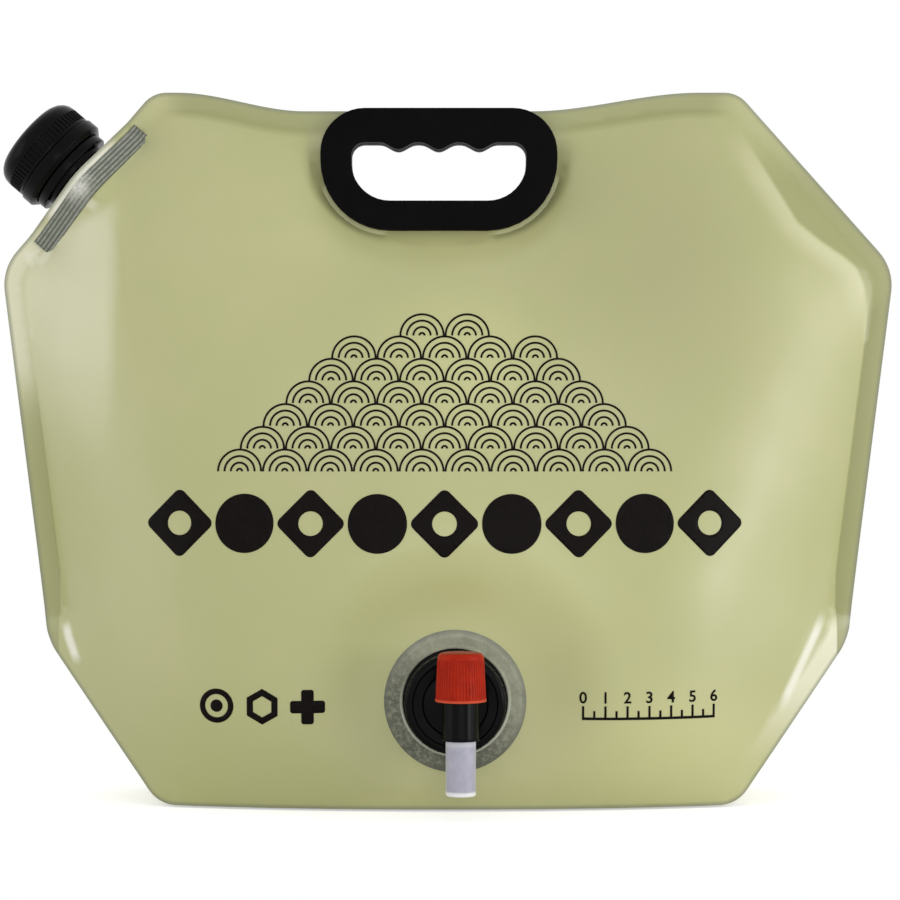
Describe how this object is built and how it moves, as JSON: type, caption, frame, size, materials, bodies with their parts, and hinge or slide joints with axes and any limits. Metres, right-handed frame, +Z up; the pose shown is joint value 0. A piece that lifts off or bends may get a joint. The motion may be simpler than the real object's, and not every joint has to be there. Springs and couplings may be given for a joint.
{
  "type": "collapsible water carrier",
  "caption": "Stand-up film water bag with a clamped carry handle, a screw-capped filler spout at its upper left corner and a quarter-turn tap on its front.",
  "frame": {"origin": "middle of the underside of the base", "axes": "+Z up, the front with the tap faces -Y, +X to the right seen from the front"},
  "size_m": [0.4203, 0.1604, 0.3325],
  "materials": {
    "olive_film": "satin laminated film",
    "black_moulding": "fine satin",
    "red_moulding": "smooth",
    "natural_polythene": "smooth translucent",
    "seal_rubber": "matt"
  },
  "bodies": {
    "bag": {"front_panel": "olive_film", "rear_panel": "olive_film", "bottom_gusset": "olive_film", "handle_front": "black_moulding", "handle_rear": "black_moulding", "filler_spout": "black_moulding", "tamper_band": "black_moulding"},
    "cap_seal": {"cap_liner": "seal_rubber"},
    "cap": {"filler_cap": "black_moulding"},
    "tap_fitting": {"tap_flange": "black_moulding"},
    "tap_valve": {"tap_body": "black_moulding", "tap_washer": "seal_rubber"},
    "collar": {"tap_collar": "black_moulding"},
    "spindle": {"valve_stem": "natural_polythene", "stem_seal_lower": "seal_rubber", "stem_seal_upper": "seal_rubber", "tap_knob": "red_moulding"}
  },
  "joints": [
    {"name": "cap_lift_off", "type": "slide", "parent": "bag", "child": "cap_seal", "axis": [-0.7591, 0, 0.6509], "range_m": [0, 0.06]},
    {"name": "cap_turn", "type": "hinge", "parent": "cap_seal", "child": "cap", "pos_m": [-0.1748, 0, 0.2917], "axis": [-0.7591, 0, 0.6509], "range_deg": [0, 540]},
    {"name": "bag_flatten", "type": "slide", "parent": "bag", "child": "tap_fitting", "axis": [0, 1, 0], "range_m": [0, 0.046], "deforming": ["front_panel", "rear_panel", "bottom_gusset"]},
    {"name": "tap_pull", "type": "slide", "parent": "tap_fitting", "child": "tap_valve", "axis": [0, -1, 0], "range_m": [0, 0.04]},
    {"name": "collar_turn", "type": "hinge", "parent": "tap_valve", "child": "collar", "pos_m": [0.0033, -0.06, 0.0497], "axis": [0, -1, 0], "range_deg": [0, 540]},
    {"name": "knob_turn", "type": "hinge", "parent": "tap_valve", "child": "spindle", "pos_m": [0.0057, -0.0817, 0.0442], "axis": [0, 0, 1], "range_deg": [0, 90]}
  ],
  "couplings": [
    {"joint": "cap_turn", "follows": "cap_lift_off", "rad_per_m": 157.08},
    {"joint": "collar_turn", "follows": "tap_pull", "rad_per_m": 235.62}
  ]
}
